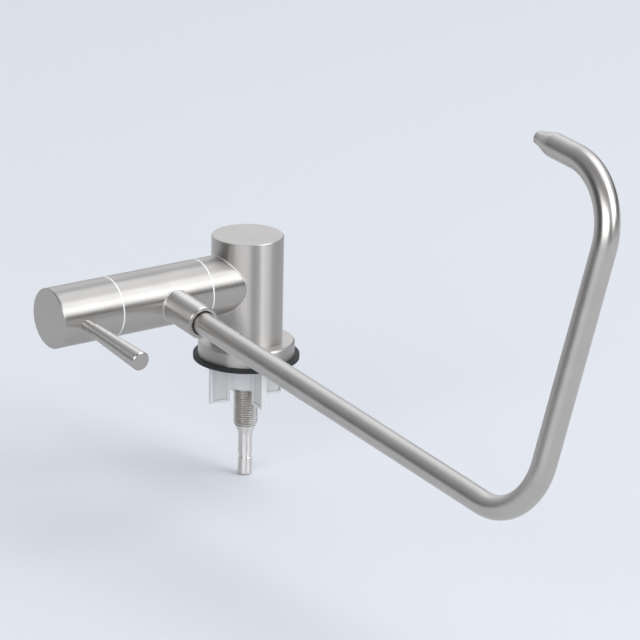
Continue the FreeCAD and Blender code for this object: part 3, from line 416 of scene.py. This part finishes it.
tree = nylon.node_tree
place = add_node(tree, "ShaderNodeTexCoord")
squared = add_node(
    tree, "ShaderNodeVectorRotate", {"rotation_type": "Z_AXIS", "Angle": -LEG_TURN},
    Vector=place.outputs["Object"])
folded = add_node(
    tree, "ShaderNodeVectorMath", {"operation": "ABSOLUTE"}, _0=squared.outputs[0])
spans = add_node(tree, "ShaderNodeSeparateXYZ", _0=folded.outputs[0])
off_plate = add_node(
    tree, "ShaderNodeMath", {"operation": "MINIMUM"},
    _0=spans.outputs["X"], _1=spans.outputs["Y"])
along_plate = add_node(
    tree, "ShaderNodeMath", {"operation": "MAXIMUM"},
    _0=spans.outputs["X"], _1=spans.outputs["Y"])
painted_web_shade = add_node(
    tree, "ShaderNodeMath", {"operation": "LESS_THAN", 1: WEB_HALF}, _0=off_plate.outputs[0])
for operation, limit, measure in (
        ("GREATER_THAN", WEB_INNER, along_plate.outputs[0]),
        ("LESS_THAN", WEB_OUTER, along_plate.outputs[0]),
        ("LESS_THAN", WEB_FOOT, spans.outputs["Z"])):
    within = add_node(tree, "ShaderNodeMath", {"operation": operation, 1: limit}, _0=measure)
    painted_web_shade = add_node(
        tree, "ShaderNodeMath", {"operation": "MULTIPLY"},
        _0=painted_web_shade.outputs[0], _1=within.outputs[0])
# Painted shade: the thin webs are greyed where the shade behind them would show through.
paint_shade_over(nylon, "#CDCCCA", painted_web_shade.outputs[0])
print("web height, mm:", round(WEB_FOOT / MM, 2))

# %% [markdown]
# ## The tap's own axes
# The post stands on Z. The barrel leaves it along -X, and the spout leaves the barrel square to
# it, a few degrees below level, with the plane of its bends leaning a little. Each axis is a
# matrix that carries local Z along it, so a piece is made in local coordinates and then placed.

# %% Axes of the socket and the spout
SOCKET_ALONG = 45.35 * MM
SOCKET_RADIUS = 7.25 * MM
REST_DIP = math.radians(5.0)
REST_SPIN = math.radians(12.2)

on_socket = (
    Matrix.Translation((-SOCKET_ALONG, 0, BARREL_HEIGHT))
    @ Matrix.Rotation(math.pi / 2 + REST_DIP, 4, "X")
)
on_spout = on_socket @ Matrix.Rotation(-REST_SPIN, 4, "Z")
print("spout points along", [round(value, 3) for value in on_spout.to_3x3() @ Vector((0, 0, 1))])

# %% [markdown]
# ## A sweep
# A tube, a bead of weld and a screw are all rings of points joined to the next ring. One
# function skins them. It writes a surface map as it goes, U along the piece and V round it,
# in metres, which the tube's tangent and scratches need.

# %% Skinning rings of points


def skin(name, rings, lengths, girth, place=Matrix(), closed=False):
    """Join rings of points into a mesh piece, with a surface map along and round it.

    Each ring has its length along the piece. A closed piece joins its last ring to its first,
    so it has one length more than it has rings.
    """
    mesh = bmesh.new()
    layer = mesh.loops.layers.uv.new("along")
    made = [[mesh.verts.new(point) for point in ring] for ring in rings]
    count = len(rings[0])
    last = len(rings) if closed else len(rings) - 1
    for index in range(last):
        near = made[index]
        far = made[(index + 1) % len(made)]
        for side in range(count):
            following = (side + 1) % count
            face = mesh.faces.new((near[side], near[following], far[following], far[side]))
            face.smooth = True
            places = (
                (lengths[index], side), (lengths[index], side + 1),
                (lengths[index + 1], side + 1), (lengths[index + 1], side))
            for loop, (length, step) in zip(face.loops, places):
                loop[layer].uv = (length, girth * step / count)
    bmesh.ops.recalc_face_normals(mesh, faces=mesh.faces)
    data = bpy.data.meshes.new(name)
    mesh.to_mesh(data)
    mesh.free()
    data.transform(place)
    piece = bpy.data.objects.new(name, data)
    bpy.context.scene.collection.objects.link(piece)
    return piece


def circle(centre, across, square, radius, count):
    """Points round a circle in the plane of two square directions."""
    angles = [2 * math.pi * step / count for step in range(count)]
    return [centre + radius * (math.cos(a) * across + math.sin(a) * square) for a in angles]


print("sweep ready")

# %% [markdown]
# ## The spout
# The real spout is one length of 10 mm tube, bent twice on a former and drawn down at its end to
# a narrower nozzle. A straight sweep with a hard corner between tube and cone would show a line
# that drawing doesn't leave, so the radius eases in and out of the taper. The tube has a 1 mm
# wall: the sweep turns over the rim and comes back inside, so the open end looks hollow. Its
# radius is a hair under 5 mm, which keeps it inside the CAD tube.

# %% The spout's route
TUBE_SEAT = 20.0 * MM
FIRST_STRAIGHT = 228.6 * MM
BEND_RADIUS = 27.8 * MM
SECOND_STRAIGHT = 86.2 * MM
OUTLET_STRAIGHT = 12.8 * MM
NOZZLE_LENGTH = 9.6 * MM
FIRST_STEPS = 24
BEND_STEPS = 48
SECOND_STEPS = 12
OUTLET_STEPS = 48


def tube_route():
    """Points along the tube's middle with the way it faces, in the plane of its bends."""
    route = []
    for step in range(FIRST_STEPS):
        out = TUBE_SEAT + (FIRST_STRAIGHT - TUBE_SEAT) * step / FIRST_STEPS
        route.append((Vector((0, 0, out)), 0.0))
    for step in range(BEND_STEPS):
        angle = math.pi / 2 * step / BEND_STEPS
        off = BEND_RADIUS * (1 - math.cos(angle))
        out = FIRST_STRAIGHT + BEND_RADIUS * math.sin(angle)
        route.append((Vector((0, off, out)), angle))
    for step in range(SECOND_STEPS):
        off = BEND_RADIUS + SECOND_STRAIGHT * step / SECOND_STEPS
        route.append((Vector((0, off, FIRST_STRAIGHT + BEND_RADIUS)), math.pi / 2))
    for step in range(BEND_STEPS):
        angle = math.pi / 2 * step / BEND_STEPS
        off = BEND_RADIUS + SECOND_STRAIGHT + BEND_RADIUS * math.sin(angle)
        out = FIRST_STRAIGHT + BEND_RADIUS * math.cos(angle)
        route.append((Vector((0, off, out)), math.pi / 2 + angle))
    apart = BEND_RADIUS + SECOND_STRAIGHT + BEND_RADIUS
    for step in range(OUTLET_STEPS + 1):
        run = (OUTLET_STRAIGHT + NOZZLE_LENGTH) * step / OUTLET_STEPS
        route.append((Vector((0, apart, FIRST_STRAIGHT - run)), math.pi))
    return route


print("points along the spout:", len(tube_route()))

# %% Spout tube
TUBE_RADIUS = 4.99 * MM
TUBE_WALL = 1.0 * MM
NOZZLE_RADIUS = 2.85 * MM
RIM_BULGE = 0.25 * MM
RIM_STEPS = 8
TUBE_SIDES = 72
SOFTNESS = 0.65


def eased(value):
    """A smooth step from 0 to 1 that stays near a straight ramp in its middle."""
    value = min(max(value, 0.0), 1.0)
    soft = value * value * (3 - 2 * value)
    return (1 - SOFTNESS) * value + SOFTNESS * soft


def tube_rings():
    """Rings of the outside, the rounded rim and the bore, with each ring's length."""
    route = tube_route()
    lengths = [0.0]
    for (here, _), (there, _) in zip(route, route[1:]):
        lengths.append(lengths[-1] + (there - here).length)
    taper_start = lengths[-1] - NOZZLE_LENGTH
    across = Vector((1, 0, 0))
    outside = []
    for (point, angle), length in zip(route, lengths):
        square = Vector((0, math.cos(angle), -math.sin(angle)))
        drawn = eased((length - taper_start) / NOZZLE_LENGTH)
        radius = TUBE_RADIUS + (NOZZLE_RADIUS - TUBE_RADIUS) * drawn
        outside.append((point, square, radius, length))
    rings = []
    marks = []
    for point, square, radius, length in outside:
        rings.append(circle(point, across, square, radius, TUBE_SIDES))
        marks.append(length)
    point, square, radius, length = outside[-1]
    half = TUBE_WALL / 2
    forward = (route[-1][0] - route[-2][0]).normalized()
    for step in range(1, RIM_STEPS):
        roll = math.pi * step / RIM_STEPS
        centre = point + forward * RIM_BULGE * (math.sin(roll) - 1)
        rim = radius - half + half * math.cos(roll)
        rings.append(circle(centre, across, square, rim, TUBE_SIDES))
        marks.append(length + half * roll)
    for point, square, radius, length in reversed(outside):
        rings.append(circle(point, across, square, radius - TUBE_WALL, TUBE_SIDES))
        marks.append(2 * lengths[-1] + math.pi * half - length)
    marks.append(marks[-1] + TUBE_WALL)
    return rings, marks


rings, marks = tube_rings()
spout = skin("spout_tube_buffed", rings, marks, 2 * math.pi * TUBE_RADIUS, on_spout, closed=True)
spout.data.materials.append(tube_steel)
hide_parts("spout_tube")
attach(spout, "spout")
print("tube faces:", len(spout.data.polygons))

# %% [markdown]
# ## The stem's screw thread
# The CAD stem has a row of separate grooves. A real thread is one groove that winds down the
# shank, which shows where its lines slope. So the radius at each point follows how far round and
# how far down it is: a V of about 60 degrees with a flat crest and root, 7/16-24 UNF. One side of
# the shank is milled flat, so points beyond that plane are pushed back to it. Below the thread
# come the cone, the grooved tail and its rounded end. The thread runs out in the cone, where the
# cone is already slimmer than the thread's root: a point takes the smaller of the two radii.

# %% The stem's plain shape
STEM_RADIUS = 5.555 * MM
STEM_END = -55.5 * MM
STEM_TOP = 18.2 * MM
STEM_BORE = 2.0 * MM
TAIL_RADIUS = 3.175 * MM
TAIL_RISE = 19.7 * MM
THREAD_START = 25.0 * MM
THREAD_STOP = 47.4 * MM
THREAD_PITCH = 1.058 * MM
GROOVE_START = 8.1 * MM
GROOVE_WIDTH = 2.1 * MM
GROOVE_DEPTH = 0.35 * MM
GROOVE_EDGE = 0.12 * MM
END_ROUND = 0.9 * MM
END_SINK = 0.6 * MM
RINGS_A_PITCH = 12
ROUND_STEPS = 8


def stem_profile():
    """Heights above the stem's end with the plain radius there."""
    profile = [(END_SINK, STEM_BORE), (0.0, STEM_BORE)]
    for step in range(ROUND_STEPS + 1):
        roll = math.pi / 2 * step / ROUND_STEPS
        profile.append((
            END_ROUND * (1 - math.cos(roll)), TAIL_RADIUS - END_ROUND * (1 - math.sin(roll))))
    edge = GROOVE_EDGE
    profile += [
        (GROOVE_START - edge, TAIL_RADIUS),
        (GROOVE_START, TAIL_RADIUS - edge),
        (GROOVE_START + edge / 2, TAIL_RADIUS - GROOVE_DEPTH),
        (GROOVE_START + GROOVE_WIDTH - edge / 2, TAIL_RADIUS - GROOVE_DEPTH),
        (GROOVE_START + GROOVE_WIDTH, TAIL_RADIUS - edge),
        (GROOVE_START + GROOVE_WIDTH + edge, TAIL_RADIUS),
        (TAIL_RISE - edge, TAIL_RADIUS),
    ]
    cone = THREAD_START - TAIL_RISE
    cone_rings = round(cone / THREAD_PITCH * RINGS_A_PITCH)
    for step in range(1, cone_rings + 1):
        share = step / cone_rings
        profile.append((
            TAIL_RISE + cone * share, TAIL_RADIUS + (STEM_RADIUS - TAIL_RADIUS) * share))
    thread_rings = round((THREAD_STOP - THREAD_START) / THREAD_PITCH * RINGS_A_PITCH)
    for step in range(1, thread_rings + 1):
        profile.append((THREAD_START + THREAD_PITCH * step / RINGS_A_PITCH, STEM_RADIUS))
    profile.append((STEM_TOP - STEM_END, STEM_RADIUS))
    profile.append((STEM_TOP - STEM_END, STEM_BORE))
    return profile


print("rings along the stem:", len(stem_profile()))

# %% Threaded stem
THREAD_DEPTH = 0.6 * MM
CREST_FLAT = 0.12
ROOT_FLAT = 0.18
FLAT_OFF = 4.995 * MM
FLAT_TURN = math.radians(-63.0)
FLAT_FACING = Vector((math.cos(FLAT_TURN), math.sin(FLAT_TURN), 0))
STEM_SIDES = 120


def thread_cut(phase):
    """How deep the thread is at a phase of its pitch, from 0 on the crest to 1 at the root."""
    off_root = abs(phase % 1.0 - 0.5) * 2
    flank = 1 - CREST_FLAT - ROOT_FLAT
    return min(max((1 - CREST_FLAT - off_root) / flank, 0.0), 1.0)


def stem_rings():
    """The stem's rings, threaded, with the milled flat."""
    rings = []
    marks = []
    for height, plain in stem_profile():
        ring = []
        depth = THREAD_DEPTH if height < THREAD_STOP else 0.0
        for step in range(STEM_SIDES):
            angle = 2 * math.pi * step / STEM_SIDES
            phase = height / THREAD_PITCH + angle / (2 * math.pi)
            radius = min(plain, STEM_RADIUS - depth * thread_cut(phase))
            point = Vector((radius * math.cos(angle), radius * math.sin(angle), 0))
            beyond = point.dot(FLAT_FACING) - FLAT_OFF
            if beyond > 0 and height >= TAIL_RISE:
                point -= FLAT_FACING * beyond
            point.z = STEM_END + height
            ring.append(point)
        rings.append(ring)
        marks.append(height)
    marks.append(marks[-1])
    return rings, marks


rings, marks = stem_rings()
stem = skin("stem_threaded", rings, marks, 2 * math.pi * STEM_RADIUS, closed=True)
stem.data.set_sharp_from_angle(angle=math.radians(30))
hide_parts("stem")
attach(stem, "base")
print("stem faces:", len(stem.data.polygons))

# %% [markdown]
# ## Two finishes on the stem
# The thread's faces get the cut steel, and the tail, the cone and the milled flat get the turned
# one. Cutting oil gathers at a thread's root, and the shade there is painted in: the colour
# darkens with depth.

# %% The stem's finishes
RUN_OUT = THREAD_START - 1.4 * MM
stem.data.materials.append(turned_steel)
stem.data.materials.append(thread_steel)
for face in stem.data.polygons:
    rise = face.center.z - STEM_END
    if RUN_OUT < rise < THREAD_STOP and face.center.dot(FLAT_FACING) < FLAT_OFF - GAP:
        face.material_index = 1
tree = thread_steel.node_tree
place = add_node(tree, "ShaderNodeTexCoord")
flattened = add_node(
    tree, "ShaderNodeVectorMath", {"operation": "MULTIPLY", 1: (1, 1, 0)},
    _0=place.outputs["Object"])
off_axis = add_node(
    tree, "ShaderNodeVectorMath", {"operation": "LENGTH"}, _0=flattened.outputs[0])
root_oil_and_painted_shade = add_node(
    tree, "ShaderNodeMapRange",
    {"From Min": STEM_RADIUS, "From Max": STEM_RADIUS - THREAD_DEPTH},
    Value=off_axis.outputs["Value"])
# Painted shade, with cutting oil: the colour darkens towards the thread's root.
paint_shade_over(thread_steel, "#ADA9A3", root_oil_and_painted_shade.outputs[0])
print("threaded faces:", sum(face.material_index for face in stem.data.polygons))

# %% [markdown]
# ## Weld seams
# The stub is welded to the post and the socket to the barrel. After grinding, only a thin bright
# line follows each joint. The line lies on both surfaces at once, so it is worked out from the
# two cylinders that meet, and a bead 0.7 mm thick is swept along it with a slight ripple.

# %% Weld beads
BEAD_RADIUS = 0.35 * MM
BEAD_STEPS = 160
BEAD_SIDES = 10
RIPPLE = 0.12
RIPPLE_TURN = 2.4


def bead(name, points):
    """A closed bead of weld through points."""
    rings = []
    marks = [0.0]
    for index, point in enumerate(points):
        following = points[(index + 1) % len(points)]
        ahead = (following - points[index - 1]).normalized()
        across = ahead.orthogonal().normalized()
        square = ahead.cross(across)
        radius = BEAD_RADIUS * (1 + RIPPLE * math.sin(index * RIPPLE_TURN))
        rings.append(circle(point, across, square, radius, BEAD_SIDES))
        marks.append(marks[-1] + (following - point).length)
    return skin(name, rings, marks, 2 * math.pi * BEAD_RADIUS, closed=True)


stub_line = []
socket_line = []
for step in range(BEAD_STEPS):
    angle = 2 * math.pi * step / BEAD_STEPS
    y = BARREL_RADIUS * math.cos(angle)
    z = BARREL_HEIGHT + BARREL_RADIUS * math.sin(angle)
    stub_line.append(Vector((-math.sqrt(POST_RADIUS ** 2 - y ** 2), y, z)))
    x = SOCKET_RADIUS * math.cos(angle)
    y = SOCKET_RADIUS * math.sin(angle)
    socket_line.append(on_socket @ Vector((x, y, math.sqrt(BARREL_RADIUS ** 2 - y ** 2))))
post_weld = bead("weld_post_stub", stub_line)
socket_weld = bead("weld_barrel_socket", socket_line)
for weld, body in ((post_weld, "base"), (socket_weld, "fold_arm")):
    weld.data.materials.append(weld_steel)
    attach(weld, body)
print("weld beads:", post_weld.name, socket_weld.name)

# %% [markdown]
# ## Finishes on the CAD pieces
# Every other piece keeps its CAD shape. The record names a finish for each, and a few straight
# steel pieces get the satin that runs round their own axis.

# %% Materials of the CAD pieces
by_slot = {
    "brushed_steel": steel_flange, "turned_steel": turned_steel, "screw_steel": screw_steel,
    "brass": brass, "rubber": rubber, "white_acetal": acetal, "clear_nylon": nylon,
    "alumina": alumina,
}
by_node = {
    "post": steel_post, "barrel": steel_barrel, "handle_cap": steel_cap, "lever_pin": steel_lever,
}
slot_of = {part["node"]: part["material_slot"] for part in frame["record"]["subparts"]}
for name, node in frame["nodes"].items():
    node.data.materials.clear()
    node.data.materials.append(by_node.get(name, by_slot[slot_of[name]]))
print(len(frame["nodes"]), "CAD pieces dressed")

# %% [markdown]
# ## Floor
# The picture is a pale product shot, so the tap stands over a light grey-blue paper that takes a
# soft shadow. The paper's grain is far too fine to show and is drawn at 3 mm.

# %% Floor
FLOOR_REACH = 4.0
FLOOR_GAP = 0.3 * MM
floor_height = cad_box[0].z - FLOOR_GAP
corners = [(-1, -1), (1, -1), (1, 1), (-1, 1)]
floor_mesh = bpy.data.meshes.new("floor")
floor_mesh.from_pydata(
    [(FLOOR_REACH * x, FLOOR_REACH * y, floor_height) for x, y in corners], [], [(0, 1, 2, 3)])
floor = bpy.data.objects.new("floor", floor_mesh)
bpy.context.scene.collection.objects.link(floor)
floor_paint = moulded(
    "pale_studio_paper", ("#D2D3D6", "#D4D5D8"), roughness=(0.85, 0.95),
    grain=3 * MM, grain_height=0.01 * MM, IOR=1.4)
floor_mesh.materials.append(floor_paint)
print("floor at", round(floor_height / MM, 1), "mm")

# %% [markdown]
# ## World
# Bright metal shows what stands round it, so the world is as much a part of its look as the
# steel. The room has mid-grey walls, a wide window behind the tap on the right, and two dark
# places, low in front on the right and on the left, which draw the dark lines along post and
# tube. The camera and reflections see it at full strength, and rough surfaces get a little less.

# %% World
WALL = "#A4A6AB"
WINDOW = "#F0F4FC"
SHADE = "#3C3C3E"
world = bpy.data.worlds.new("studio")
bpy.context.scene.world = world
world.use_nodes = True
tree = world.node_tree
tree.nodes.clear()
rays = add_node(tree, "ShaderNodeLightPath")
seen = add_node(
    tree, "ShaderNodeMath", {"operation": "MAXIMUM"},
    _0=rays.outputs["Is Camera Ray"], _1=rays.outputs["Is Glossy Ray"])
shown = add_node(
    tree, "ShaderNodeMath", {"operation": "MAXIMUM"},
    _0=seen.outputs[0], _1=rays.outputs["Is Transmission Ray"])
strength = add_node(
    tree, "ShaderNodeMapRange", {"To Min": 0.9, "To Max": 1.0}, Value=shown.outputs[0])
around = add_node(tree, "ShaderNodeTexCoord")


def toward(azimuth, elevation, start, full):
    """How far the world's direction turns toward one direction, from 0 to 1."""
    facing = add_node(
        tree, "ShaderNodeVectorMath",
        {"operation": "DOT_PRODUCT", 1: direction(math.radians(azimuth), math.radians(elevation))},
        _0=around.outputs["Generated"])
    return add_node(
        tree, "ShaderNodeMapRange",
        {"interpolation_type": "SMOOTHSTEP", "From Min": start, "From Max": full},
        Value=facing.outputs["Value"])


window = toward(azimuth=135, elevation=25, start=0.2, full=0.95)
lit = add_node(
    tree, "ShaderNodeMix", {"data_type": "RGBA", 6: linear(WALL), 7: linear(WINDOW)},
    _0=window.outputs[0])
spread = add_node(tree, "ShaderNodeSeparateXYZ", _0=around.outputs["Generated"])
low = add_node(
    tree, "ShaderNodeMapRange",
    {"interpolation_type": "SMOOTHSTEP", "From Min": 0.35, "From Max": 0.15},
    Value=spread.outputs["Z"])
front = toward(azimuth=60, elevation=0, start=0.1, full=0.6)
low_front = add_node(
    tree, "ShaderNodeMath", {"operation": "MULTIPLY"}, _0=low.outputs[0], _1=front.outputs[0])
left_wall = toward(azimuth=-100, elevation=5, start=0.75, full=0.95)
dark = add_node(
    tree, "ShaderNodeMath", {"operation": "MAXIMUM"},
    _0=low_front.outputs[0], _1=left_wall.outputs[0])
room = add_node(
    tree, "ShaderNodeMix", {"data_type": "RGBA", 7: linear(SHADE)},
    _0=dark.outputs[0], _6=lit.outputs[2])
sky = add_node(
    tree, "ShaderNodeBackground", Color=room.outputs[2], Strength=strength.outputs[0])
add_node(tree, "ShaderNodeOutputWorld", Surface=sky.outputs[0])
print("world:", world.name)

# %% [markdown]
# ## Lamps
# Five large lamps, slightly cool as daylight is, give the light bands and the shadow. Each is a
# rectangle 5 m away that faces the tap: large lamps make soft edges on satin steel, and a narrow
# one in front draws a line.

# %% Lamps
LAMP_COLOUR = (0.925, 0.955, 1.0)
LAMP_DISTANCE = 5.0


def softbox(name, azimuth, elevation, width, height, power):
    """A rectangular lamp aimed at the tap, from an azimuth and elevation in degrees."""
    lamp = bpy.data.lights.new(name, "AREA")
    lamp.shape = "RECTANGLE"
    lamp.size = width
    lamp.size_y = height
    lamp.energy = power
    lamp.color = LAMP_COLOUR
    holder = bpy.data.objects.new(name, lamp)
    bpy.context.scene.collection.objects.link(holder)
    away = direction(math.radians(azimuth), math.radians(elevation))
    holder.location = away * LAMP_DISTANCE
    holder.rotation_mode = "QUATERNION"
    holder.rotation_quaternion = away.to_track_quat("Z", "Y")
    print(name, power, "W")


softbox("main_softbox", azimuth=36, elevation=38, width=2.8, height=3.8, power=116)
softbox("top_bank", azimuth=80, elevation=64, width=4.4, height=3.8, power=84)
softbox("left_softbox", azimuth=-52, elevation=24, width=5.0, height=2.2, power=140)
softbox("front_strip", azimuth=16, elevation=26, width=0.9, height=2.8, power=32)
softbox("back_softbox", azimuth=155, elevation=38, width=3.4, height=2.4, power=14)
